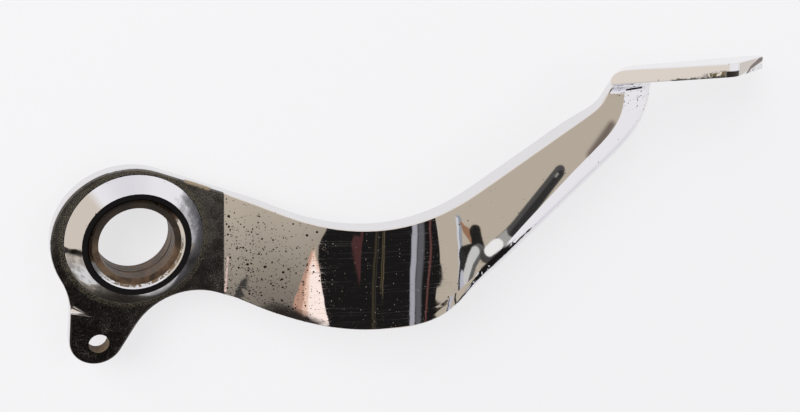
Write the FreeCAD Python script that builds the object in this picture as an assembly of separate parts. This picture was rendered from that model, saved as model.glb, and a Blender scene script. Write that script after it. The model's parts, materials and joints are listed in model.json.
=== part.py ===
import FreeCAD, Part
import math
import os

# Rear brake pedal of a motorbike: one chrome plated steel forging with two pressed-in bushes.
# Millimetres. +X points forward to the tread, +Y inboard, +Z up, and the pivot axis is Y.
# The origin is on the pivot axis, at the middle of the boss. The outboard face looks along -Y.

V = FreeCAD.Vector

# Pivot boss and bushes
BUSH_BORE = 23.0            # running diameter for the pivot shaft
BUSH_WALL = 2.0
BUSH_SETBACK = 0.4          # from the inner end of the mouth chamfer to the bush
BUSH_GAP = 0.6              # grease gap between the two bushes
MOUTH_CHAMFER = 1.0         # at both ends of the housing bore
BOSS_RING_WIDTH = 2.0       # flat thrust ring around the mouth
BOSS_OUTER_HEIGHT = 4.5     # cone above the plate, outboard
BOSS_CONE_RUN = 4.5         # how much wider the cone is at its foot
BOSS_INNER_HEIGHT = 3.5     # straight collar below the plate, inboard
BOSS_INNER_STEP = 1.5       # collar wider than the thrust ring
COLLAR_CHAMFER = 0.6

# Plate around the boss
PLATE_THICKNESS = 4.8
PLATE_MARGIN = 2.7          # plate beyond the foot of the cone
PLATE_BACK_SET = 1.4        # plate centre behind the pivot axis
PLATE_DROP = 0.5            # plate centre below the pivot axis
PLATE_EDGE_RADIUS = 0.8

# Lug for the brake rod
ROD_HOLE = 6.3
ROD_HOLE_BACK = 12.4        # behind the pivot axis
ROD_HOLE_DROP = 33.8        # below the pivot axis
LUG_RADIUS = 8.5
LUG_BACK_OFFSET = 0.5       # lug end behind the rod hole
LUG_RISE = 1.3              # lug end above the rod hole
LUG_BACK_LEAN = 5.0         # degrees, rear edge of the lug
LUG_ROOT_LEAN = 25.0        # degrees, plate edge that runs into the lug
LUG_ROOT_RADIUS = 24.0
LUG_FRONT_ANGLE = 57.0      # degrees, front edge of the lug
WEB_RADIUS = 21.0           # hollow between lug and arm

# Dent across the rear edge, at the root of the lug
DENT_RADIUS = 1.6           # at its wide end, on the edge
DENT_LIFT = 0.6             # axis of the wide end off the face
DENT_LENGTH = 7.0
DENT_FALL = 30.0            # degrees, running down and forward to its point
DENT_DROP = 4.2             # wide end below the root's corner

# Arm outline, seen along the pivot axis
NECK_END = 27.5             # where the arm leaves the plate
NECK_SLOPE = 22.8           # degrees, upper edge falling forward
NECK_LOWER = 22.5           # lower edge below the axis at the neck's end
NECK_LOWER_SLOPE = 23.3     # degrees, lower edge falling forward
DIP_RADIUS = 71.0           # hollow of the upper edge
ARM_SLOPE = 31.0            # degrees, upper edge climbing to the tread
ARM_UPPER_REACH = 151.5     # forward reach of that climb, up to the crest
ARM_UPPER_HEIGHT = 35.5     # height of the crest
ARM_UPPER_TURN = 6.0        # radius where the upper edge turns up to the tread
BELLY_DEPTH = 36.3          # lowest part of the arm below the axis
BELLY_RADIUS = 90.0
ELBOW_RADIUS = 35.0         # lower edge turning up
ELBOW_X = 98.6              # corner of the lower edge before rounding
TIP_RUN = 2.9               # from the crest forward to where the hollow under the tread starts
TIP_CLIMB = 32.4            # degrees that the upper edge leans forward from there
TIP_WIDTH = 18.6            # arm there, up to its forward side
TIP_DROP = 7.1              # corner of the lower edge below the crest, before rounding
TIP_RADIUS = 26.0

# Arm section and joggle, seen from above
ARM_THICKNESS = 6.2
ARM_EDGE_RADIUS = 0.5
JOGGLE_ANGLE = 17.0         # degrees, arm leaving the plate outboard
JOGGLE_STRAIGHT = 30.5      # forward run of the sloping face
JOGGLE_RADIUS = 137.0       # bend back to the plane of the bike
FACET_WIDTH = 4.6           # facet along the lower edge of the upper arm, where it starts
FACET_TIP_WIDTH = 10.8      # and at the tip
FACET_ANGLE = 8.0           # degrees that the facet falls away from the face
ROUND_RADIUS = 9.0          # rounding from the facet to the lower edge
ROUND_ANGLE = 60.0          # degrees that facet and rounding turn through
ROUND_START = 0.42          # share of the arm's length where the rounding starts
ROUND_FULL = 0.56           # share where it is full
TIP_LEAN = 2.9              # inboard corner of the upper edge ahead at the tip
LEAN_START = 0.90           # share where that lean starts
SECTIONS = 17               # sections along the arm

# Foot tread
TREAD_THICKNESS = 4.8
TREAD_LENGTH = 51.5         # outboard edge, up to its bend
TREAD_BEND = 10.0           # radius where that edge turns inboard
TREAD_SWEEP = 33.5          # degrees that it turns through
TREAD_TIP = 2.5             # radius of the front tip in plan
TREAD_FLARE = 9.6           # degrees, inboard edge leaving the outboard one
TREAD_REAR_WIDTH = 10.5
TREAD_REAR_SLANT = 8.5      # inboard rear corner ahead of the outboard one
TREAD_NOSE_RUN = 9.0        # rear end rounded over, along the top
TREAD_NOSE_DROP = 3.4       # and down the end
TREAD_ROLL = 9.0            # degrees, outboard edge turned up
TREAD_REAR_RUN = 1.5        # outboard rear corner ahead of the arm's crest
TREAD_RISE = 14.5           # outboard upper edge above the arm's crest
TREAD_OVERHANG = 4.0        # outboard edge beyond the arm's face
TREAD_EDGE_RADIUS = 0.4
ROOT_RADIUS = 6.5           # hollow between arm and tread
ROOT_TURN = 60.0            # degrees that the hollow turns through
ROOT_SECTIONS = 5           # sections of the hollow

ROUND_ROOM = 0.999          # share of an outline's side that its two roundings may take at most

BUSH_RADIUS = BUSH_BORE / 2
HOUSING_RADIUS = BUSH_RADIUS + BUSH_WALL
MOUTH_RADIUS = HOUSING_RADIUS + MOUTH_CHAMFER
RING_RADIUS = MOUTH_RADIUS + BOSS_RING_WIDTH
CONE_RADIUS = RING_RADIUS + BOSS_CONE_RUN
PLATE_RADIUS = CONE_RADIUS + PLATE_MARGIN
COLLAR_RADIUS = RING_RADIUS + BOSS_INNER_STEP
BOSS_LENGTH = BOSS_OUTER_HEIGHT + PLATE_THICKNESS + BOSS_INNER_HEIGHT
OUTER_FACE = -BOSS_LENGTH / 2
INNER_FACE = BOSS_LENGTH / 2
PLATE_FRONT = OUTER_FACE + BOSS_OUTER_HEIGHT
PLATE_BACK = PLATE_FRONT + PLATE_THICKNESS
BUSH_DEPTH = MOUTH_CHAMFER + BUSH_SETBACK
BUSH_LENGTH = (BOSS_LENGTH - 2 * BUSH_DEPTH - BUSH_GAP) / 2
TREAD_SLANT = TREAD_REAR_SLANT / TREAD_REAR_WIDTH
TREAD_REAR = ARM_UPPER_REACH + TREAD_REAR_RUN
TREAD_TOP = ARM_UPPER_HEIGHT + TREAD_RISE
TIP_REAR = ARM_UPPER_REACH + TIP_RUN
TIP_FRONT = TIP_REAR + TIP_WIDTH
ROOT_START = TREAD_TOP - TREAD_THICKNESS - ROOT_RADIUS * math.sin(math.radians(ROOT_TURN))

JOGGLE = math.radians(JOGGLE_ANGLE)
BEND_START = NECK_END + JOGGLE_STRAIGHT
BEND_END = BEND_START + JOGGLE_RADIUS * math.sin(JOGGLE)
SLOPE_RISE = JOGGLE_STRAIGHT * math.tan(JOGGLE)
ARM_FACE = PLATE_FRONT - SLOPE_RISE - JOGGLE_RADIUS * (1 - math.cos(JOGGLE))


def heading(degrees):
    """Unit direction in the plane of the outline, from forward towards up."""
    return V(math.cos(math.radians(degrees)), math.sin(math.radians(degrees)), 0)


def meet(point_a, way_a, point_b, way_b):
    """Where two lines of the outline cross."""
    cross = way_a.x * way_b.y - way_a.y * way_b.x
    gap = point_b - point_a
    return point_a + way_a * ((gap.x * way_b.y - gap.y * way_b.x) / cross)


def rounded_edges(corners, place, closed):
    """Lines and arcs along corners (point, radius), laid into space by place.
    A radius is limited by the two sides that it rounds."""
    count = len(corners)
    turns = []
    for i, (point, radius) in enumerate(corners):
        back = corners[i - 1][0] - point
        ahead = corners[(i + 1) % count][0] - point
        half = back.getAngle(ahead) / 2
        sharp = radius == 0 or (not closed and i in (0, count - 1))
        turns.append((back, ahead, half, 0 if sharp else radius / math.tan(half)))
    spans = []
    for i, (back, ahead, half, reach) in enumerate(turns):
        point = corners[i][0]
        if reach == 0:
            spans.append((point, None, point))
            continue
        room_back = ROUND_ROOM * back.Length / (reach + turns[i - 1][3])
        room_ahead = ROUND_ROOM * ahead.Length / (reach + turns[(i + 1) % count][3])
        reach *= min(1, room_back, room_ahead)
        way_back = back / back.Length
        way_ahead = ahead / ahead.Length
        middle = (way_back + way_ahead).normalize() * (reach / math.cos(half) - reach * math.tan(half))
        spans.append((point + way_back * reach, point + middle, point + way_ahead * reach))
    edges = []
    for i, (start, middle, end) in enumerate(spans):
        if middle is not None:
            edges.append(Part.Arc(place(start), place(middle), place(end)).toShape())
        if closed or i < count - 1:
            edges.append(Part.makeLine(place(end), place(spans[(i + 1) % count][0])))
    return edges


def middle_way(edge):
    """Direction of an edge at its middle."""
    return edge.tangentAt((edge.FirstParameter + edge.LastParameter) / 2)


def tube(outer_radius, inner_radius, start, length):
    """Ring about the pivot axis, from start along +Y."""
    ring = Part.makeCylinder(outer_radius, length, V(0, start, 0), V(0, 1, 0))
    return ring.cut(Part.makeCylinder(inner_radius, length, V(0, start, 0), V(0, 1, 0)))


def neck_ends():
    """Upper and lower corner of the neck, where the arm leaves the plate."""
    centre = V(-PLATE_BACK_SET, -PLATE_DROP, 0)
    touch = centre + heading(90 - NECK_SLOPE) * PLATE_RADIUS
    end = V(NECK_END, 0, 0)
    return meet(touch, heading(-NECK_SLOPE), end, heading(90)), V(NECK_END, -NECK_LOWER, 0)


def plate_outline():
    """Corners of the plate: neck, round boss end, lug and the hollow before the neck."""
    upper, lower = neck_ends()
    centre = V(-PLATE_BACK_SET, -PLATE_DROP, 0)
    lug = V(-ROD_HOLE_BACK - LUG_BACK_OFFSET, -ROD_HOLE_DROP + LUG_RISE, 0)
    rear_touch = centre + heading(180 + LUG_ROOT_LEAN) * PLATE_RADIUS
    rear_way = heading(270 + LUG_ROOT_LEAN)
    lug_rear = lug + heading(180 - LUG_BACK_LEAN) * LUG_RADIUS
    lug_rear_way = heading(270 - LUG_BACK_LEAN)
    lug_front = lug + heading(LUG_FRONT_ANGLE - 90) * LUG_RADIUS
    lug_front_way = heading(LUG_FRONT_ANGLE)
    boss = meet(upper, heading(-NECK_SLOPE), rear_touch, rear_way)
    root = meet(rear_touch, rear_way, lug_rear, lug_rear_way)
    end = meet(lug_rear, lug_rear_way, lug_front, lug_front_way)
    web = meet(lug_front, lug_front_way, lower, heading(-NECK_LOWER_SLOPE))
    return [(upper, 0), (boss, PLATE_RADIUS), (root, LUG_ROOT_RADIUS), (end, LUG_RADIUS),
            (web, WEB_RADIUS), (lower, 0)]


def make_plate():
    """Flat plate with its lug, edges rounded all along the outline but not at the neck."""
    edges = rounded_edges(plate_outline(), lambda p: V(p.x, PLATE_FRONT, p.y), True)
    face = Part.Face(Part.Wire(edges))
    plate = face.extrude(V(0, PLATE_THICKNESS, 0))
    rims = [e for e in plate.Edges if abs(e.BoundBox.YLength) < 1e-6
            and e.BoundBox.XMin < NECK_END - 1e-6]
    return plate.makeFillet(PLATE_EDGE_RADIUS, rims)


def make_boss():
    """Cone with its flat ring outboard, and the straight collar inboard."""
    cone = Part.makeCone(RING_RADIUS, CONE_RADIUS, BOSS_OUTER_HEIGHT, V(0, OUTER_FACE, 0), V(0, 1, 0))
    core = Part.makeCylinder(RING_RADIUS, PLATE_THICKNESS, V(0, PLATE_FRONT, 0), V(0, 1, 0))
    collar = Part.makeCylinder(COLLAR_RADIUS, BOSS_INNER_HEIGHT, V(0, PLATE_BACK, 0), V(0, 1, 0))
    rim = [e for e in collar.Edges if abs(e.BoundBox.YMin - INNER_FACE) < 1e-6
           and e.BoundBox.YLength < 1e-6]
    return cone.fuse([core, collar.makeChamfer(COLLAR_CHAMFER, rim)])


def bore_cut():
    """Housing bore through the boss, with a chamfer at each mouth."""
    bore = Part.makeCylinder(HOUSING_RADIUS, BOSS_LENGTH, V(0, OUTER_FACE, 0), V(0, 1, 0))
    outer = Part.makeCone(MOUTH_RADIUS, HOUSING_RADIUS, MOUTH_CHAMFER, V(0, OUTER_FACE, 0), V(0, 1, 0))
    inner = Part.makeCone(MOUTH_RADIUS, HOUSING_RADIUS, MOUTH_CHAMFER, V(0, INNER_FACE, 0), V(0, -1, 0))
    return bore.fuse([outer, inner])


def arm_face(x):
    """Outboard face of the arm above a point of its outline, and its turn outboard there."""
    if x < BEND_START:
        return PLATE_FRONT - (x - NECK_END) * math.tan(JOGGLE), JOGGLE
    if x < BEND_END:
        turn = math.asin((BEND_END - x) / JOGGLE_RADIUS)
        return ARM_FACE + JOGGLE_RADIUS * (1 - math.cos(turn)), turn
    return ARM_FACE, 0.0


def arm_paths():
    """Upper and lower edge of the arm, from the neck to the hollow under the tread."""
    upper, lower = neck_ends()
    crest = V(ARM_UPPER_REACH, ARM_UPPER_HEIGHT, 0)
    dip = meet(upper, heading(-NECK_SLOPE), crest, heading(ARM_SLOPE))
    belly_line = V(0, -BELLY_DEPTH, 0)
    belly = meet(lower, heading(-NECK_LOWER_SLOPE), belly_line, heading(0))
    elbow = V(ELBOW_X, -BELLY_DEPTH, 0)
    tip = V(TIP_FRONT, ARM_UPPER_HEIGHT - TIP_DROP, 0)
    rear = V(TIP_REAR, ROOT_START, 0)
    front = V(TIP_FRONT, ROOT_START, 0)
    flat = lambda p: V(p.x, 0, p.y)
    above = [(upper, 0), (dip, DIP_RADIUS), (crest, ARM_UPPER_TURN), (rear, 0)]
    below = [(lower, 0), (belly, BELLY_RADIUS), (elbow, ELBOW_RADIUS), (tip, TIP_RADIUS), (front, 0)]
    return (Part.Wire(rounded_edges(above, flat, False)), Part.Wire(rounded_edges(below, flat, False)))


def ramp(share, start, full):
    """Nothing before start, one after full, and a smooth rise between."""
    rise = min(1.0, max(0.0, (share - start) / (full - start)))
    return rise * rise * (3 - 2 * rise)


def arm_section(top, bottom, share, flare):
    """Closed section of the arm between two points of its outline, its face flared outboard."""
    top_face, turn = arm_face(top.x)
    bottom_face = arm_face(bottom.x)[0]
    if share == 0:
        turn = 0.0
    start = V(top.x, top_face, top.z)
    across = (V(bottom.x, bottom_face, bottom.z) - start).normalize()
    width = top.sub(bottom).Length
    inward = V(math.sin(turn), math.cos(turn), 0)
    inward = (inward - across * inward.dot(across)).normalize()
    rounding = ramp(share, ROUND_START, ROUND_FULL)
    thickness = PLATE_THICKNESS + (ARM_THICKNESS - PLATE_THICKNESS) * ramp(share, 0, ROUND_START)
    side_way = heading(90 + (ROUND_ANGLE - 90) * rounding)
    round_radius = ARM_EDGE_RADIUS + (ROUND_RADIUS - ARM_EDGE_RADIUS) * rounding
    grown = max(0.0, share - ROUND_FULL) / (1 - ROUND_FULL)
    facet_width = FACET_WIDTH + (FACET_TIP_WIDTH - FACET_WIDTH) * grown
    lean = TIP_LEAN * ramp(share, LEAN_START, 1)
    corner = V(width, -flare, 0)
    crease = corner - V(facet_width, 0, 0)
    facet_end = meet(crease, heading(FACET_ANGLE * rounding), corner, side_way)
    back = V(width + side_way.x / side_way.y * thickness, thickness, 0)
    corners = [(V(-flare * TREAD_SLANT, -flare, 0), ARM_EDGE_RADIUS), (crease, 0), (facet_end, round_radius),
               (back, ARM_EDGE_RADIUS), (V(lean, thickness, 0), ARM_EDGE_RADIUS)]
    place = lambda p: start + across * p.x + inward * p.y
    return Part.Wire(rounded_edges(corners, place, True))


def make_arm():
    """Joggled arm through its sections, from the neck to the hollow under the tread."""
    above, below = arm_paths()
    tops = above.discretize(Number=SECTIONS)
    bottoms = below.discretize(Number=SECTIONS)
    wires = [arm_section(top, bottom, i / (SECTIONS - 1), 0)
             for i, (top, bottom) in enumerate(zip(tops, bottoms))]
    return Part.makeLoft(wires, True, False)


def make_root():
    """Arm's end flaring outboard in a hollow, up into the tread."""
    top, bottom = (path.discretize(Number=2)[-1] for path in arm_paths())
    wires = []
    for i in range(ROOT_SECTIONS + 1):
        turn = math.radians(ROOT_TURN) * i / ROOT_SECTIONS
        rise = V(0, 0, ROOT_RADIUS * math.sin(turn))
        climb = rise + V(rise.z * math.tan(math.radians(TIP_CLIMB)), 0, 0)
        wires.append(arm_section(top + climb, bottom + rise, 1, ROOT_RADIUS * (1 - math.cos(turn))))
    return Part.makeLoft(wires, True, False)


def make_tread():
    """Flat tread plate with a swept front, rolled about its outboard edge."""
    roll = math.radians(TREAD_ROLL)
    inboard = V(0, math.cos(roll), -math.sin(roll))
    down = V(0, -math.sin(roll), -math.cos(roll))
    corner = V(TREAD_REAR, ARM_FACE - TREAD_OVERHANG, TREAD_TOP)
    place = lambda p: corner + V(1, 0, 0) * p.x + inboard * p.y
    bend = V(TREAD_LENGTH, 0, 0)
    rear = V(TREAD_REAR_SLANT, TREAD_REAR_WIDTH, 0)
    tip = meet(bend, heading(TREAD_SWEEP), rear, heading(TREAD_FLARE))
    corners = [(V(0, 0, 0), 0), (bend, TREAD_BEND), (tip, TREAD_TIP), (rear, 0)]
    plate = Part.Face(Part.Wire(rounded_edges(corners, place, True))).extrude(down * TREAD_THICKNESS)
    rear_edge = place(rear) - corner
    rims = [e for e in plate.Edges if abs(middle_way(e).dot(down)) < 1e-6
            and middle_way(e).cross(rear_edge).Length > 1e-6]
    return plate.makeFillet(TREAD_EDGE_RADIUS, rims).cut(nose_cut(corner, rear_edge, down))


def nose_cut(corner, rear_edge, down):
    """What the rounded-over rear end leaves off the tread, all along its slanted rear edge."""
    over = V(TREAD_NOSE_RUN, 0, 0)
    under = down * TREAD_NOSE_DROP
    curve = Part.BezierCurve()
    curve.setPoles([corner + over, corner, corner + under])
    clear = corner - over + down * -TREAD_NOSE_DROP
    outside = [corner + under, corner - over + under, clear, clear + over * 2, corner + over]
    edges = [curve.toShape()] + [Part.makeLine(a, b) for a, b in zip(outside, outside[1:])]
    face = Part.Face(Part.Wire(edges)).translated(rear_edge * -1)
    return face.extrude(rear_edge * 3)


def rod_hole_cut():
    """Hole for the clevis pin of the brake rod."""
    place = V(-ROD_HOLE_BACK, PLATE_FRONT, -ROD_HOLE_DROP)
    return Part.makeCylinder(ROD_HOLE / 2, PLATE_THICKNESS, place, V(0, 1, 0))


def dent_cut():
    """Pointed dent that runs from the rear edge into the face of the lug."""
    root = plate_outline()[2][0]
    wide = V(root.x, PLATE_FRONT - DENT_LIFT, root.y - DENT_DROP)
    run = heading(-DENT_FALL) * DENT_LENGTH
    return Part.makeCone(DENT_RADIUS, 0, run.Length, wide, V(run.x, DENT_LIFT, run.y))


def make_pedal():
    """The whole forging, with its bore and its rod hole."""
    body = make_plate().fuse([make_boss(), make_arm(), make_root(), make_tread()])
    return body.cut([bore_cut(), rod_hole_cut(), dent_cut()]).removeSplitter()


def make_bush(start):
    """Plain bush, a press fit in the housing bore."""
    return tube(HOUSING_RADIUS, BUSH_RADIUS, start, BUSH_LENGTH)


parts = {
    "pedal_arm": make_pedal(),
    "outer_bush": make_bush(OUTER_FACE + BUSH_DEPTH),
    "inner_bush": make_bush(INNER_FACE - BUSH_DEPTH - BUSH_LENGTH),
}

os.makedirs("parts", exist_ok=True)
for name, shape in parts.items():
    shape.exportStep(f"parts/{name}.step")
    print(name, len(shape.Solids), shape.isValid(), round(shape.Volume, 1), shape.BoundBox)
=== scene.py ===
import json

import bpy
from mathutils import Matrix, Vector


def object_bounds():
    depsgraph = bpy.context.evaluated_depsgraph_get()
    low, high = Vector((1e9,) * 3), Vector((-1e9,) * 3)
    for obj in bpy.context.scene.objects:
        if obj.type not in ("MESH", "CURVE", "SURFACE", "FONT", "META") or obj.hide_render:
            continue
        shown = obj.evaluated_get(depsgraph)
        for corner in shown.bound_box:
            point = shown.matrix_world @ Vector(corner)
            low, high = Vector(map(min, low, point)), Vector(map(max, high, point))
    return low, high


# Looks of a chromed brake pedal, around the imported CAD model. Metres, in the CAD's own frame:
# +X forward to the tread, +Y inboard, +Z up, the origin on the pivot axis.

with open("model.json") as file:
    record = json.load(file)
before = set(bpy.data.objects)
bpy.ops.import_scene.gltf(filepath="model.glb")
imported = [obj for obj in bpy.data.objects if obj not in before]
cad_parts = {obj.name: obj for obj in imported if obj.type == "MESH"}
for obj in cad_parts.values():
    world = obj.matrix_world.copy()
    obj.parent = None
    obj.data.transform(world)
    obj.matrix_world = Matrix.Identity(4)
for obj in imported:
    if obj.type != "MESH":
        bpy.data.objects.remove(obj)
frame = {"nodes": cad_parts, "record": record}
cad_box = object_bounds()
scene = bpy.context.scene
scene.view_settings.view_transform = "Standard"


# Node helpers

class Graph:
    """Short names for the nodes of one tree."""

    def __init__(self, tree):
        self.tree = tree
        tree.nodes.clear()

    def put(self, socket, value):
        if isinstance(value, bpy.types.NodeSocket):
            self.tree.links.new(value, socket)
        elif value is not None:
            socket.default_value = value

    def node(self, kind, **settings):
        node = self.tree.nodes.new(kind)
        for name, value in settings.items():
            setattr(node, name, value)
        return node

    def math(self, operation, a, b=None, c=None, clamp=False):
        node = self.node("ShaderNodeMath", operation=operation, use_clamp=clamp)
        for socket, value in zip(node.inputs, (a, b, c)):
            self.put(socket, value)
        return node.outputs[0]

    def add(self, a, *others):
        for other in others:
            a = self.math("ADD", a, other)
        return a

    def sub(self, a, b):
        return self.math("SUBTRACT", a, b)

    def mul(self, a, *others):
        for other in others:
            a = self.math("MULTIPLY", a, other)
        return a

    def plus(self, a, b, share):
        """a, and a share of b."""
        return self.math("MULTIPLY_ADD", b, share, a)

    def around(self, noise, amount):
        """Noise from 0 to 1 spread over the amount, about zero."""
        return self.math("MULTIPLY_ADD", noise, amount, -amount / 2.0)

    def most(self, a, *others):
        for other in others:
            a = self.math("MAXIMUM", a, other)
        return a

    def flip(self, a):
        return self.math("SUBTRACT", 1.0, a)

    def hypot(self, a, b):
        return self.math("SQRT", self.add(self.mul(a, a), self.mul(b, b)))

    def step(self, value, start, end):
        """Smooth rise from 0 at start to 1 at end; falls where start is the larger."""
        node = self.node("ShaderNodeMapRange", interpolation_type="SMOOTHSTEP")
        self.put(node.inputs["Value"], value)
        self.put(node.inputs["From Min"], start)
        self.put(node.inputs["From Max"], end)
        return node.outputs["Result"]

    def span(self, value, rise, fall):
        """1 between a rising step and a falling one."""
        return self.mul(self.step(value, *rise), self.step(value, *fall))

    def band(self, value, middle, half, soft):
        """1 within half of the middle, 0 beyond half plus soft."""
        away = self.math("ABSOLUTE", self.sub(value, middle))
        return self.step(away, half + soft, half)

    def vector(self, operation, a, b=None, scale=None, output=0):
        node = self.node("ShaderNodeVectorMath", operation=operation)
        self.put(node.inputs[0], a)
        self.put(node.inputs[1], b)
        self.put(node.inputs[3], scale)
        return node.outputs[output]

    def point(self, *parts):
        node = self.node("ShaderNodeCombineXYZ")
        for socket, part in zip(node.inputs, parts):
            self.put(socket, part)
        return node.outputs[0]

    def split(self, vector):
        node = self.node("ShaderNodeSeparateXYZ")
        self.put(node.inputs[0], vector)
        return node.outputs

    def stroke(self, point, start, end, start_half, end_half, soft):
        """Round-ended stroke in the plane from start to end, with a half width at each end."""
        run = Vector((end[0] - start[0], end[1] - start[1], 0.0))
        offset = self.vector("SUBTRACT", point, (*start, 0.0))
        along = self.vector("DOT_PRODUCT", offset, run / run.length_squared, output=1)
        along = self.math("ADD", along, 0.0, clamp=True)
        away = self.vector("DISTANCE", offset, self.vector("SCALE", run, scale=along), output=1)
        half = self.math("MULTIPLY_ADD", along, end_half - start_half, start_half)
        return self.step(self.sub(away, half), soft, 0.0)

    def mix(self, factor, a, b):
        node = self.node("ShaderNodeMix", data_type="RGBA")
        self.put(node.inputs[0], factor)
        for socket, value in ((node.inputs[6], a), (node.inputs[7], b)):
            self.put(socket, value if isinstance(value, bpy.types.NodeSocket) else (*value, 1.0))
        return node.outputs[2]

    def lerp(self, factor, a, b):
        node = self.node("ShaderNodeMix", data_type="FLOAT")
        for socket, value in ((node.inputs[0], factor), (node.inputs[2], a), (node.inputs[3], b)):
            self.put(socket, value)
        return node.outputs[0]

    def noise(self, spot, scale, detail=3.0, rough=0.55):
        node = self.node("ShaderNodeTexNoise")
        for name, value in (("Vector", spot), ("Scale", scale), ("Detail", detail), ("Roughness", rough)):
            self.put(node.inputs[name], value)
        return node.outputs["Fac"]


# Camera, at the photo's viewing angle

LENS_MM = 49.5
SENSOR_MM = 36.0
NEAR_CLIP = 0.01
CAMERA_AT = Vector((-0.0532, -0.3177, 0.1334))
CAMERA_RIGHT = Vector((0.919, -0.391, 0.049))
CAMERA_BACK = Vector((-0.382, -0.853, 0.355))


def make_camera():
    camera = bpy.data.objects.new("camera", bpy.data.cameras.new("camera"))
    scene.collection.objects.link(camera)
    camera.data.lens = LENS_MM
    camera.data.sensor_width = SENSOR_MM
    camera.data.sensor_fit = "HORIZONTAL"
    camera.data.clip_start = NEAR_CLIP
    back = CAMERA_BACK.normalized()
    up = back.cross(CAMERA_RIGHT).normalized()
    right = up.cross(back)
    turn = Matrix((right, up, back)).transposed()
    camera.matrix_world = Matrix.Translation(CAMERA_AT) @ turn.to_4x4()
    scene.camera = camera


# World: the room that the chrome reflects

WHITE = (0.98, 0.965, 1.0)
PALE = (0.87, 0.79, 0.71)
BEIGE = (0.56, 0.49, 0.40)
LILAC = (0.62, 0.61, 0.70)
BROWN = (0.22, 0.19, 0.16)
BLACK = (0.012, 0.011, 0.011)
FOOT_OF_FIGURE = (0.03, 0.024, 0.022)
LEFT_WALL = (0.75, 0.67, 0.585)
CEILING = (0.86, 0.85, 0.90)
GROUND_TO_CAMERA = (0.93, 0.92, 0.945)
LIGHT_ON_MATT = (0.34, 0.337, 0.347)

# Azimuth and elevation in degrees, from the way that the outboard side faces
PALE_ABOVE_RIGHT, PALE_ABOVE_LEFT = (-14.0, 2.0), (-18.0, -12.0)
LEFT_WALL_FROM = (-30.0, -50.0)
BROWN_BELOW = (-20.0, -27.0)
WHITE_ABOVE = (36.0, 48.0)
CEILING_ABOVE = (48.0, 72.0)
RIGHT_PAPER_FROM = (40.2, 41.6)
RIGHT_PAPER_DIM_BELOW = (-36.0, -58.0)
FOLD_FROM, FOLD_BELOW, FOLD_DEPTH = (55.0, 95.0), (-20.0, -32.0), 0.6
PAPER_EDGE = ((44.5, -33.0), (57.0, -39.0), (80.0, -43.0))
PAPER_EDGE_HALF, PAPER_EDGE_SOFT = (1.6, 1.8), 0.8

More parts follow.
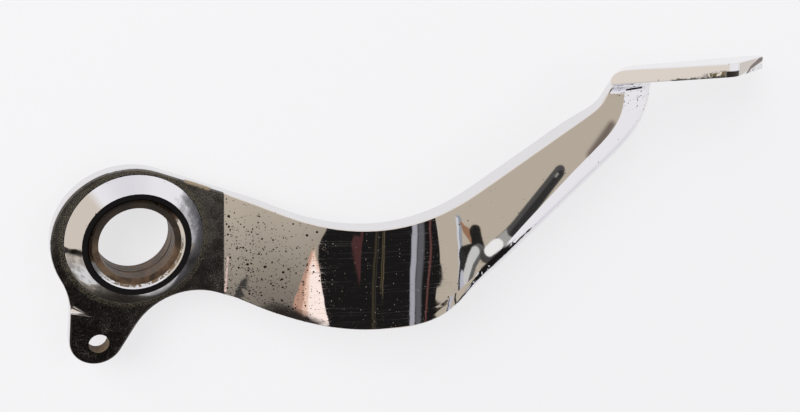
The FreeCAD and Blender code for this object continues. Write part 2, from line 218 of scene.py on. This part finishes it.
# Things in the room, as strokes in the plane one unit in front of the part: start, end, half width
# at each, softness, colour. The far ones stand behind the dark figure.
FAR_STROKES = (
    ((-0.252, -0.447), (-0.236, -0.500), 0.001, 0.060, 0.002, (0.58, 0.34, 0.25)),
    ((-0.247, -0.450), (-0.228, -0.500), 0.001, 0.050, 0.006, (1.00, 0.68, 0.54)),
    ((-0.243, -0.462), (-0.222, -0.505), 0.002, 0.042, 0.012, (1.20, 1.02, 0.94)),
    ((-0.325, -0.480), (-0.338, -0.525), 0.003, 0.034, 0.004, (0.050, 0.047, 0.045)),
)
NEAR_STROKES = (
    ((-0.063, -0.425), (-0.022, -0.455), 0.022, 0.001, 0.006, (0.080, 0.032, 0.032)),
    ((0.058, -0.452), (0.064, -0.530), 0.003, 0.004, 0.007, (0.050, 0.041, 0.026)),
    ((0.072, -0.452), (0.078, -0.530), 0.001, 0.002, 0.004, (0.040, 0.034, 0.026)),
    ((0.098, -0.440), (0.102, -0.459), 0.001, 0.001, 0.004, (0.085, 0.066, 0.034)),
    ((0.110, -0.440), (0.113, -0.462), 0.001, 0.001, 0.005, (0.11, 0.09, 0.055)),
    ((0.352, -0.42), (0.322, -0.54), 0.012, 0.006, 0.016, (0.13, 0.13, 0.145)),
    ((0.322, -0.42), (0.272, -0.54), 0.012, 0.008, 0.010, (0.44, 0.435, 0.49)),
    ((0.412, -0.42), (0.381, -0.50), 0.004, 0.001, 0.006, (0.14, 0.058, 0.054)),
    ((0.518, -0.440), (0.499, -0.525), 0.0045, 0.006, 0.002, (0.34, 0.36, 0.40)),
    ((0.514, -0.440), (0.494, -0.525), 0.0018, 0.0025, 0.001, (0.72, 0.74, 0.80)),
    ((0.521, -0.446), (0.537, -0.463), 0.002, 0.007, 0.0015, (0.36, 0.19, 0.115)),
    ((0.541, -0.454), (0.546, -0.474), 0.0065, 0.008, 0.0015, (0.02, 0.019, 0.018)),
    ((0.546, -0.478), (0.514, -0.486), 0.009, 0.009, 0.0015, (0.02, 0.019, 0.018)),
    ((0.512, -0.488), (0.500, -0.518), 0.008, 0.006, 0.0015, (0.03, 0.03, 0.03)),
    ((0.546, -0.481), (0.520, -0.512), 0.0090, 0.0085, 0.0015, (0.13, 0.13, 0.125)),
    ((0.541, -0.481), (0.515, -0.511), 0.0060, 0.0060, 0.0020, (0.66, 0.66, 0.64)),
    ((0.507, -0.506), (0.500, -0.535), 0.004, 0.007, 0.0015, (0.55, 0.55, 0.63)),
    ((0.560, -0.487), (0.594, -0.456), 0.010, 0.007, 0.0020, (0.07, 0.068, 0.066)),
    ((0.586, -0.464), (0.577, -0.471), 0.0075, 0.008, 0.0012, (0.42, 0.41, 0.39)),
    ((0.563, -0.481), (0.569, -0.476), 0.0075, 0.008, 0.0012, (1.0, 0.99, 0.98)),
    ((0.642, -0.394), (0.589, -0.460), 0.0066, 0.0076, 0.0010, (0.085, 0.082, 0.080)),
    ((0.644, -0.398), (0.591, -0.464), 0.0040, 0.0048, 0.0015, (0.035, 0.034, 0.034)),
    ((0.640, -0.3975), (0.638, -0.400), 0.0010, 0.0010, 0.001, (0.32, 0.31, 0.29)),
    ((0.704, -0.345), (0.684, -0.378), 0.001, 0.004, 0.008, (0.20, 0.165, 0.135)),
    ((0.602, -0.466), (0.548, -0.512), 0.002, 0.004, 0.0015, (0.03, 0.029, 0.028)),
    ((0.548, -0.512), (0.512, -0.545), 0.004, 0.004, 0.0015, (0.04, 0.038, 0.036)),
)

# How much of a direction points ahead or behind, where each begins and ends
IN_FRONT, BEHIND, LEAST_DEPTH = (0.25, 0.35), (-0.02, 0.04), 0.1
OUT_OF_SIGHT = 9.0

# In that plane: the left half, and the outline of the dark figure and its foot
LEFT_HALF = (0.1, -0.1)
FIGURE_LEFT, FIGURE_SHOULDER, FIGURE_LEAN, SHOULDER_WIDTH = -0.243, -0.434, 0.70, 0.022
FIGURE_RIGHT, HEM_HEIGHT, HEM_DEPTH, HEM_FLARE = 0.429, -0.49, 0.025, 2.4
FIGURE_HEAD, HEAD_FROM, FIGURE_BOTTOM = -0.33, (-0.24, -0.12), (-0.62, -0.58)
FOOT_BELOW, FOOT_LEFT_OF = (-0.508, -0.522), (0.3, 0.2)


def walls(g, az, el, u):
    """Pale above, beige at eye level and darker below on the left, with white paper on the right."""
    left = g.step(u, *LEFT_HALF)
    start, end = (g.lerp(left, *limits) for limits in zip(PALE_ABOVE_RIGHT, PALE_ABOVE_LEFT))
    room = g.mix(g.step(el, start, end), BEIGE, PALE)
    room = g.mix(g.mul(left, g.step(el, *BROWN_BELOW)), room, BROWN)
    room = g.mix(g.step(az, *LEFT_WALL_FROM), room, LEFT_WALL)
    room = g.mix(g.step(el, *WHITE_ABOVE), room, WHITE)
    paper = g.mix(g.step(el, *RIGHT_PAPER_DIM_BELOW), WHITE, LILAC)
    fold = g.mul(g.step(az, *FOLD_FROM), g.step(el, *FOLD_BELOW), FOLD_DEPTH)
    room = g.mix(g.step(az, *RIGHT_PAPER_FROM), room, g.mix(fold, paper, LILAC))
    return g.mix(g.step(el, *CEILING_ABOVE), room, CEILING)


def figure(g, u, v):
    """The dark figure in front of the part, with its shoulder on the left and a flared hem on the right."""
    lean = g.mul(g.sub(FIGURE_SHOULDER, v), FIGURE_LEAN)
    shoulder = g.step(v, FIGURE_SHOULDER - 0.010, FIGURE_SHOULDER + 0.002)
    left = g.plus(g.add(FIGURE_LEFT, lean), shoulder, SHOULDER_WIDTH)
    drop = g.math("MINIMUM", g.most(g.sub(HEM_HEIGHT, v), 0.0), HEM_DEPTH)
    right = g.plus(FIGURE_RIGHT, drop, HEM_FLARE)
    top = g.lerp(g.step(u, *HEAD_FROM), FIGURE_SHOULDER + 0.001, FIGURE_HEAD)
    sides = g.mul(g.step(g.sub(u, left), -0.002, 0.002), g.step(g.sub(right, u), -0.0015, 0.0015))
    return g.mul(sides, g.step(g.sub(top, v), -0.003, 0.003), g.step(v, *FIGURE_BOTTOM))


def make_world():
    """Pale to the camera, plain to matt surfaces, and the room to the chrome."""
    world = bpy.data.worlds.new("studio")
    scene.world = world
    world.use_nodes = True
    g = Graph(world.node_tree)
    x, y, z = g.split(g.node("ShaderNodeTexCoord").outputs["Generated"])
    ahead = g.mul(y, -1.0)
    az = g.math("DEGREES", g.math("ARCTAN2", x, ahead))
    el = g.math("DEGREES", g.math("ARCSINE", z))
    front = g.step(ahead, *IN_FRONT)
    depth = g.most(ahead, LEAST_DEPTH)
    u = g.plus(g.math("DIVIDE", x, depth), g.flip(front), OUT_OF_SIGHT)
    v = g.math("DIVIDE", z, depth)
    in_plane = g.point(u, v)

    def draw(room, strokes):
        for *shape, colour in strokes:
            room = g.mix(g.stroke(in_plane, *shape), room, colour)
        return room

    room = walls(g, az, el, u)
    room = g.mix(g.step(y, *BEHIND), room, WHITE)
    for start, end in zip(PAPER_EDGE, PAPER_EDGE[1:]):
        edge = g.stroke(g.point(az, el), start, end, *PAPER_EDGE_HALF, PAPER_EDGE_SOFT)
        room = g.mix(edge, room, BLACK)
    room = draw(room, FAR_STROKES)
    foot = g.mul(g.step(v, *FOOT_BELOW), g.step(u, *FOOT_LEFT_OF))
    room = g.mix(foot, room, FOOT_OF_FIGURE)
    room = g.mix(figure(g, u, v), room, BLACK)
    room = draw(room, NEAR_STROKES)

    rays = g.node("ShaderNodeLightPath").outputs
    seen = g.mix(g.most(rays["Is Camera Ray"], rays["Is Transmission Ray"]), room, GROUND_TO_CAMERA)
    shader = g.node("ShaderNodeBackground")
    g.put(shader.inputs["Color"], g.mix(rays["Is Diffuse Ray"], seen, LIGHT_ON_MATT))
    out = g.node("ShaderNodeOutputWorld")
    g.put(out.inputs["Surface"], shader.outputs[0])


# Stage: pale paper close behind the pedal, which lies on its inboard side in the photo

PAPER_GAP = 0.0036
PAPER_HALF = 0.9
PAPER_GLOW = 0.70
PAPER_GRAIN = 900.0
PAPER_DARK, PAPER_LIGHT = (0.965, 0.956, 0.968), (0.980, 0.971, 0.983)

# Name, place, size in metres and watts of each lamp
LAMPS = (
    ("key", (-1.3, -1.2, 1.2), 1.5, 36.0),
    ("fill", (0.6, -0.9, 0.4), 0.8, 1.2),
    ("rim", (0.2, 0.8, 0.7), 0.8, 3.0),
)
LAMPS_AIM = Vector((0.09, 0.0, 0.0))


def new_material(name):
    material = bpy.data.materials.new(name)
    material.use_nodes = True
    return material


def paper_material():
    """Paper seen from its front only, brightened for all but diffuse rays so that its shadows stay soft."""
    material = new_material("floor")
    g = Graph(material.node_tree)
    grain = g.noise(g.node("ShaderNodeTexCoord").outputs["Object"], PAPER_GRAIN)
    colour = g.mix(grain, PAPER_DARK, PAPER_LIGHT)
    paint = g.node("ShaderNodeBsdfDiffuse")
    g.put(paint.inputs["Color"], colour)
    glow = g.node("ShaderNodeEmission")
    g.put(glow.inputs["Color"], colour)
    rays = g.node("ShaderNodeLightPath").outputs
    seen = g.most(rays["Is Camera Ray"], rays["Is Glossy Ray"], rays["Is Transmission Ray"])
    bright = g.node("ShaderNodeMixShader")
    g.put(bright.inputs[0], g.mul(seen, PAPER_GLOW))
    g.put(bright.inputs[1], paint.outputs[0])
    g.put(bright.inputs[2], glow.outputs[0])
    join = g.node("ShaderNodeMixShader")
    g.put(join.inputs[0], g.node("ShaderNodeNewGeometry").outputs["Backfacing"])
    g.put(join.inputs[1], bright.outputs[0])
    g.put(join.inputs[2], g.node("ShaderNodeBsdfTransparent").outputs[0])
    out = g.node("ShaderNodeOutputMaterial")
    g.put(out.inputs["Surface"], join.outputs[0])
    return material


def make_stage():
    y = cad_box[1][1] + PAPER_GAP
    corners = [(PAPER_HALF * i, y, PAPER_HALF * k) for i, k in ((-1, -1), (1, -1), (1, 1), (-1, 1))]
    mesh = bpy.data.meshes.new("floor")
    mesh.from_pydata(corners, [], [(0, 1, 2, 3)])
    mesh.materials.append(paper_material())
    floor = bpy.data.objects.new("floor", mesh)
    scene.collection.objects.link(floor)


def make_lights():
    for name, at, size, watts in LAMPS:
        lamp = bpy.data.lights.new(name, "AREA")
        lamp.size = size
        lamp.energy = watts
        thing = bpy.data.objects.new(name, lamp)
        scene.collection.objects.link(thing)
        thing.location = at
        thing.rotation_euler = (LAMPS_AIM - Vector(at)).to_track_quat("-Z", "Y").to_euler()
        thing.visible_glossy = False


# Materials. Places on the part are in millimetres, in x and z as seen from outboard.

MM_PER_METRE = 1000.0
NECK_X = 27.9
CONE_FOOT = 21.0
CONE_TOP = 16.5
MOUTH_RADIUS = 14.5
TREAD_LOW_Z = 44.4
FLANGE_X = (19.5, 24.0)
JOGGLE_X = (106.0, 98.0)
DENSE_PITS_END_X = (76.0, 34.0)
LARGE_PITS_END_X = (155.0, 100.0)
TREAD_ROOT_X, TREAD_ROOT_Z = (155.0, 158.0), (30.0, 41.0)
TREAD_EDGE_Y = (-20.4, -20.9)
CRUMBS_AND_SHADE_X = ((176.0, 178.0), (201.0, 199.0))
# Top of the painted shade in the hollow along the tread's lower edge
HOLLOW_SHADE_Z = (46.0, 45.6)
GOLD_FROM_X, GOLD_Z, GOLD_MIDDLE_X, GOLD_SLOPE = (188.0, 193.0), (47.7, 47.1), 196.0, -0.15
TAR_X, TAR_Y, TAR_Z = ((199.0, 200.6), (207.4, 206.6)), (-18.6, -19.4), (47.5, 47.1)
TAR_MIDDLE_X, TAR_SLOPE = 203.0, 0.05
NOSE_FROM_X = (206.8, 207.6)

# Marks as strokes: start, end, half width at each, softness
DENT = ((-20.5, -20.9), (-16.0, -22.2), 1.3, 0.4, 0.4)
CONE_STREAK = ((-19.2, -0.9), (-16.8, -0.7), 0.3, 0.6, 1.1)
# CREASE: where a pink highlight is painted along the crease
CREASE = ((28.9, -9.0), (28.0, -21.0), 0.12, 0.34, 0.12)
NOSE_LINE = ((213.2, 43.5), (218.5, 45.6), 0.4, 0.4, 0.4)
NOSE_LINE_END = ((218.5, 45.6), (231.0, 46.8), 0.4, 0.9, 0.5)
RUST_PATCH = ((16.0, 17.6), (23.0, 15.0), 0.3, 0.8, 0.6)

CHROME = (0.80, 0.795, 0.80)
INBOARD_DARK, INBOARD_LIGHT = (0.36, 0.355, 0.35), (0.54, 0.535, 0.53)
PLATE_DARK, PLATE_FILM = (0.045, 0.043, 0.045), (0.125, 0.120, 0.120)
# Painted dark reflection on the cone's lower right side, mottled like a smear
SMEAR_REFLECTION_DARK, SMEAR_REFLECTION_LIGHT = (0.05, 0.05, 0.053), (0.22, 0.22, 0.23)
DUST_DARK, DUST_LIGHT = (0.085, 0.082, 0.080), (0.185, 0.170, 0.145)
RUST_DARK, RUST_LIGHT = (0.07, 0.045, 0.026), (0.24, 0.165, 0.09)
GOLD_DARK, GOLD_LIGHT = (0.06, 0.045, 0.02), (0.27, 0.20, 0.08)
SCUFF = (0.20, 0.195, 0.19)
SHADE = (0.055, 0.053, 0.042)
POLISHING_LINE = (0.6, 0.58, 0.55)
# Pink of the highlight painted along the crease
CREASE_HIGHLIGHT_PINK = (0.98, 0.72, 0.66)
OLIVE = (0.17, 0.145, 0.075)
PATCH = (0.36, 0.28, 0.19)
NOSE_BEYOND = (0.58, 0.52, 0.46)
NOSE_DARK = (0.15, 0.105, 0.08)
# Pits and tar, and the painted shade in the hollow under the tread
PIT_AND_HOLLOW_SHADE = (0.030, 0.026, 0.022)
GLINT = (0.26, 0.21, 0.12)


class Surface(Graph):
    """Graph of a material on the part, with the place of a point in millimetres."""

    def __init__(self, material):
        super().__init__(material.node_tree)
        place = self.node("ShaderNodeTexCoord").outputs["Object"]
        self.spot = self.vector("SCALE", place, scale=MM_PER_METRE)
        self.x, self.y, self.z = self.split(self.spot)

    def stretched(self, *scale):
        return self.point(*(self.mul(part, factor) for part, factor in zip((self.x, self.y, self.z), scale)))

    def specks(self, per_mm, density, small, large):
        """Round spots in a share of the cells of space, with a radius from small to large cells."""
        cell = self.node("ShaderNodeTexVoronoi", feature="F1")
        self.put(cell.inputs["Vector"], self.spot)
        self.put(cell.inputs["Scale"], per_mm)
        part = self.node("ShaderNodeSeparateColor")
        self.put(part.inputs[0], cell.outputs["Color"])
        chance, size = part.outputs[0], part.outputs[1]
        radius = self.lerp(self.mul(size, size), small, large)
        inside = self.step(cell.outputs["Distance"], radius, self.mul(radius, 0.75))
        return self.mul(inside, self.math("LESS_THAN", chance, density))

    def finish(self, colour, metallic, roughness, strength, depth, height):
        """The shader, with a bump of that depth in metres."""
        bump = self.node("ShaderNodeBump")
        self.put(bump.inputs["Strength"], strength)
        self.put(bump.inputs["Distance"], depth)
        self.put(bump.inputs["Height"], height)
        bsdf = self.node("ShaderNodeBsdfPrincipled")
        self.put(bsdf.inputs["Base Color"], colour)
        self.put(bsdf.inputs["Metallic"], metallic)
        self.put(bsdf.inputs["Roughness"], roughness)
        self.put(bsdf.inputs["Normal"], bump.outputs[0])
        out = self.node("ShaderNodeOutputMaterial")
        self.put(out.inputs["Surface"], bsdf.outputs[0])


class Plating(Surface):
    """The marks on the chrome, each as a mask from 0 to 1."""

    def __init__(self, material):
        super().__init__(material)
        _, self.inward, self.upward = self.split(self.node("ShaderNodeNewGeometry").outputs["Normal"])
        self.radius = self.hypot(self.x, self.z)
        self.face = self.point(self.x, self.z)
        self.blotch = self.noise(self.spot, 0.28, 4.0, 0.6)
        self.fine = self.noise(self.spot, 0.8)
        self.grit = self.noise(self.spot, 3.2, 2.0, 0.7)
        self.outer = self.step(self.inward, -0.35, -0.55)
        self.inboard = self.step(self.inward, 0.45, 0.75)
        dent = self.stroke(self.face, *DENT)
        self.plate = self.mul(self.step(self.x, NECK_X, NECK_X - 0.4),
                              self.step(self.radius, CONE_FOOT - 0.1, CONE_FOOT + 0.6),
                              self.step(self.inward, -0.55, -0.75), self.flip(dent))

    def pits(self):
        """Pits through the plating: dense behind the joggle and under the tread, few elsewhere."""
        low = self.step(self.plus(self.z, self.x, 0.35), 26.0, 4.0)
        behind = self.mul(self.span(self.x, (NECK_X - 0.5, NECK_X + 0.5), DENSE_PITS_END_X),
                          self.lerp(low, 0.06, 1.0))
        under = self.mul(self.span(self.z, TREAD_ROOT_Z, (TREAD_LOW_Z + 0.6, TREAD_LOW_Z)),
                         self.step(self.x, *TREAD_ROOT_X), self.step(self.inward, -0.999, -0.99), 0.6)
        uneven = self.lerp(self.step(self.blotch, 0.35, 0.55), 0.45, 1.0)
        density = self.mul(self.most(behind, under, 0.015), uneven, self.outer)
        few = self.mul(density, self.step(self.x, *LARGE_PITS_END_X), 0.40)
        return self.most(self.specks(0.55, few, 0.12, 0.40),
                         self.specks(0.95, self.mul(density, 0.95), 0.14, 0.44),
                         self.specks(1.60, density, 0.16, 0.44))

    def plate_marks(self):
        """Film and dust on the dull plate, both lighter towards the top, and the dirt around the foot of the
        cone.
        """
        flange = self.mul(self.plate, self.step(self.x, *FLANGE_X))
        upper = self.step(self.z, -14.0, 8.0)
        film = self.lerp(self.step(self.plus(self.blotch, upper, 0.2), 0.42, 0.75), 0.35, 1.0)
        dusty = self.plus(self.plus(self.grit, flange, 0.02), upper, 0.03)
        dust = self.step(self.add(dusty, self.around(self.blotch, 0.25)), 0.60, 0.70)
        foot = self.mul(self.band(self.radius, CONE_FOOT + 0.8, 0.4, 1.0), self.step(self.grit, 0.50, 0.62))
        return self.mul(self.plate, film), self.mul(self.plate, dust), self.mul(self.plate, foot)

    def cone_marks(self):
        """The cone's lower right side painted dark as a reflection and mottled with smears, the dark streak
        on its left, and scuffs.
        """
        rings = self.span(self.radius, (CONE_TOP - 0.2, CONE_TOP + 0.2), (CONE_FOOT + 0.5, CONE_FOOT + 0.1))
        cone = self.mul(rings, self.step(self.y, -1.0, -1.6))
        turn = self.math("DIVIDE", self.mul(self.sub(self.x, self.z), 0.7071), self.radius)
        reach = self.add(self.radius, self.around(self.blotch, 6.0))
        # Painted dark reflection on the cone's lower right side, mottled like a smear, strongest towards the
        # foot
        smear_and_dark_reflection = self.mul(cone, self.step(self.add(turn, self.around(self.blotch, 0.5)), -0.02, 0.20),
                         self.lerp(self.step(reach, CONE_TOP + 0.3, CONE_TOP + 3.0), 0.45, 1.0))
        streak = self.mul(cone, self.stroke(self.face, *CONE_STREAK), 0.85)
        scuff = self.mul(cone, self.step(self.plus(self.z, self.x, 0.1), -1.0, -4.0),
                         self.lerp(self.step(self.blotch, 0.40, 0.60), 0.30, 1.0))
        return smear_and_dark_reflection, streak, scuff

    def wear_and_highlight(self):
        """Fine polishing lines, glints of dirt in them, and a painted pink highlight along the crease."""
        lines = self.noise(self.stretched(0.05, 0.05, 3.0), 1.0, 4.0, 0.7)
        hair = self.mul(self.step(lines, 0.56, 0.70),
                        self.span(self.x, (NECK_X + 0.1, NECK_X + 2.1), JOGGLE_X), self.outer)
        glints = self.mul(self.specks(1.25, 0.35, 0.07, 0.24),
                          self.span(self.x, (56.0, 62.0), (JOGGLE_X[0], 70.0)), self.outer)
        # A painted pink highlight along the crease
        crease = self.mul(self.stroke(self.face, *CREASE), self.step(self.grit, 0.42, 0.48), self.outer)
        return hair, glints, crease

    def hole_shade_and_rust(self):
        """Shade and crust in the mouth of the bore, and rust in the rod hole."""
        throat = self.mul(self.step(self.radius, MOUTH_RADIUS + 0.5, MOUTH_RADIUS + 0.2),
                          self.step(self.y, 0.0, -1.0))
        # Painted shade in the upper left of the bore's mouth
        shade = self.mul(throat, self.step(self.plus(self.z, self.x, -0.8), -3.0, 3.0), 0.85)
        crust = self.mul(throat, self.step(self.radius, MOUTH_RADIUS - 0.25, MOUTH_RADIUS - 0.55),
                         self.step(self.plus(self.z, self.x, -0.4), -3.0, -8.0),
                         self.step(self.plus(self.fine, self.grit, 0.5), 0.62, 0.74))
        rod_hole = next(mount for mount in frame["record"]["mounts"] if mount["name"] == "rod_hole")
        hole_x, _, hole_z = (place * MM_PER_METRE for place in rod_hole["pos_m"])
        rim = rod_hole["dims"]["r_mm"]
        away = self.hypot(self.sub(self.x, hole_x), self.sub(self.z, hole_z))
        hole = self.mul(self.step(away, rim + 0.3, rim + 0.05), self.step(self.inward, -0.8, -0.6))
        return shade, crust, hole

    def tread_grime_and_shade(self):
        """Painted shade in the hollow along the tread's lower edge, ragged at its top, golden crumbs there,
        and tar before its front end.
        """
        above = self.step(self.z, TREAD_LOW_Z, TREAD_LOW_Z + 0.3)
        edge = self.mul(self.step(self.y, *TREAD_EDGE_Y), above, self.span(self.x, *CRUMBS_AND_SHADE_X))
        height = self.add(self.z, self.around(self.grit, -2.6), self.around(self.blotch, -3.0))
        # Painted shade in the hollow along the tread's lower edge
        dark = self.mul(edge, self.step(height, *HOLLOW_SHADE_Z))
        slanted = self.plus(height, self.sub(self.x, GOLD_MIDDLE_X), GOLD_SLOPE)
        gold = self.mul(edge, self.step(self.x, *GOLD_FROM_X), self.step(slanted, *GOLD_Z),
                        self.step(self.fine, 0.38, 0.5))
        tar_height = self.plus(self.z, self.sub(self.x, TAR_MIDDLE_X), TAR_SLOPE)
        tar = self.mul(self.step(self.y, *TAR_Y), self.step(tar_height, *TAR_Z), self.span(self.x, *TAR_X),
                       above)
        return dark, gold, tar

    def nose_marks(self):
        """The dark line along the tread's front end, and the paler metal beyond it."""
        front = self.mul(self.step(self.x, *NOSE_FROM_X), self.step(self.upward, 0.6, 0.3))
        line = self.most(self.stroke(self.face, *NOSE_LINE), self.stroke(self.face, *NOSE_LINE_END))
        beyond = self.mul(self.step(self.plus(self.z, self.x, -0.36), -33.6, -32.8),
                          self.step(self.plus(self.z, self.x, -0.05), 34.3, 34.7))
        return self.mul(front, line), self.mul(front, beyond)

    def rust_patch(self):
        """Thin rust on the outboard corner of the plate's upper edge."""
        return self.mul(self.stroke(self.face, *RUST_PATCH), self.step(self.y, -0.4, -1.5),
                        self.step(self.plus(self.blotch, self.grit, 0.5), 0.62, 0.78))


def plating_material():
    material = new_material("plating")
    g = Plating(material)
    pits = g.pits()
    film, dust, foot = g.plate_marks()
    smear_and_dark_reflection, streak, scuff = g.cone_marks()
    hair, glints, crease = g.wear_and_highlight()
    shade, crust, hole = g.hole_shade_and_rust()
    hollow_shade_band, gold_crumbs, tar = g.tread_grime_and_shade()
    line, beyond = g.nose_marks()
    patch = g.rust_patch()
    # Pits, tar and the painted shade under the tread
    black = g.most(pits, tar, hollow_shade_band)

    colour = g.mix(g.inboard, CHROME, g.mix(g.blotch, INBOARD_DARK, INBOARD_LIGHT))
    for mask, paint in (
        (g.mul(g.plate, 0.97), g.mix(film, PLATE_DARK, PLATE_FILM)),
        # painted dark reflection on the cone's lower right side, mottled
        (g.mul(smear_and_dark_reflection, 0.95), g.mix(g.blotch, SMEAR_REFLECTION_DARK, SMEAR_REFLECTION_LIGHT)),
        (g.mul(scuff, 0.7), SCUFF),
        (g.most(streak, shade), SHADE),
        (g.mul(hair, 0.25), POLISHING_LINE),
        # painted pink highlight along the crease
        (crease, CREASE_HIGHLIGHT_PINK),
        (g.mul(dust, 0.8), g.mix(g.step(g.fine, 0.45, 0.6), DUST_DARK, DUST_LIGHT)),
        (g.mul(foot, 0.8), OLIVE),
        (patch, PATCH),
        (g.most(crust, hole), g.mix(g.fine, RUST_DARK, RUST_LIGHT)),
        (beyond, NOSE_BEYOND),
        (line, NOSE_DARK),
        (gold_crumbs, g.mix(g.step(g.grit, 0.45, 0.6), GOLD_DARK, GOLD_LIGHT)),
        (black, PIT_AND_HOLLOW_SHADE),
        (glints, GLINT),
    ):
        colour = g.mix(mask, colour, paint)

    matt = g.most(g.mul(dust, 0.8), g.mul(foot, 0.8), crust, hole, gold_crumbs, g.mul(line, 0.6),
                  g.mul(patch, 0.6), g.mul(hair, 0.035), g.mul(glints, 0.8), g.mul(crease, 0.7))
    rough = g.lerp(g.fine, 0.008, 0.020)
    for mask, roughness in (
        (hair, 0.06),
        (g.most(smear_and_dark_reflection, scuff), 0.20),
        (film, 0.20),
        (g.inboard, 0.24),
        (matt, 0.65),
        (black, 0.45),
    ):
        rough = g.lerp(mask, rough, roughness)
    g.finish(colour, g.flip(matt), rough, 0.35, 0.00012, g.mul(g.plate, g.grit))
    return material


BUSH_DARK, BUSH_LIGHT = (0.050, 0.031, 0.020), (0.150, 0.088, 0.052)
RIDGE, GROOVE = (0.21, 0.150, 0.092), (0.030, 0.020, 0.014)
BUSH_GRIT = (0.060, 0.034, 0.020)
BUSH_SHADE = (0.014, 0.011, 0.009)


def bush_material():
    """Rusty brown, with turned grooves around the bore and painted shade in its upper half."""
    material = new_material("bush")
    g = Surface(material)
    cloud = g.noise(g.spot, 0.25, 4.0, 0.6)
    grit = g.noise(g.spot, 2.2, 3.0, 0.7)
    turned = g.noise(g.stretched(0.1, 4.0, 0.1), 1.0, 3.0, 0.6)
    colour = g.mix(g.step(cloud, 0.38, 0.62), BUSH_DARK, BUSH_LIGHT)
    for mask, paint in (
        (g.mul(g.step(turned, 0.5, 0.60), 0.6), RIDGE),
        (g.mul(g.step(turned, 0.46, 0.38), 0.8), GROOVE),
        (g.step(grit, 0.52, 0.66), BUSH_GRIT),
        # painted shade in the upper half of the bore
        (g.mul(g.step(g.z, -4.0, 7.0), 0.85), BUSH_SHADE),
    ):
        colour = g.mix(mask, colour, paint)
    metallic = g.lerp(grit, 0.3, 0.0)
    g.finish(colour, metallic, g.lerp(cloud, 0.35, 0.6), 0.4, 0.0002, g.add(grit, turned))
    return material


def dress(node, material):
    for slot in frame["nodes"][node].material_slots:
        slot.material = material


make_camera()
make_world()
make_stage()
make_lights()
plating = plating_material()
bush = bush_material()
dress("pedal_arm", plating)
dress("outer_bush", bush)
dress("inner_bush", bush)
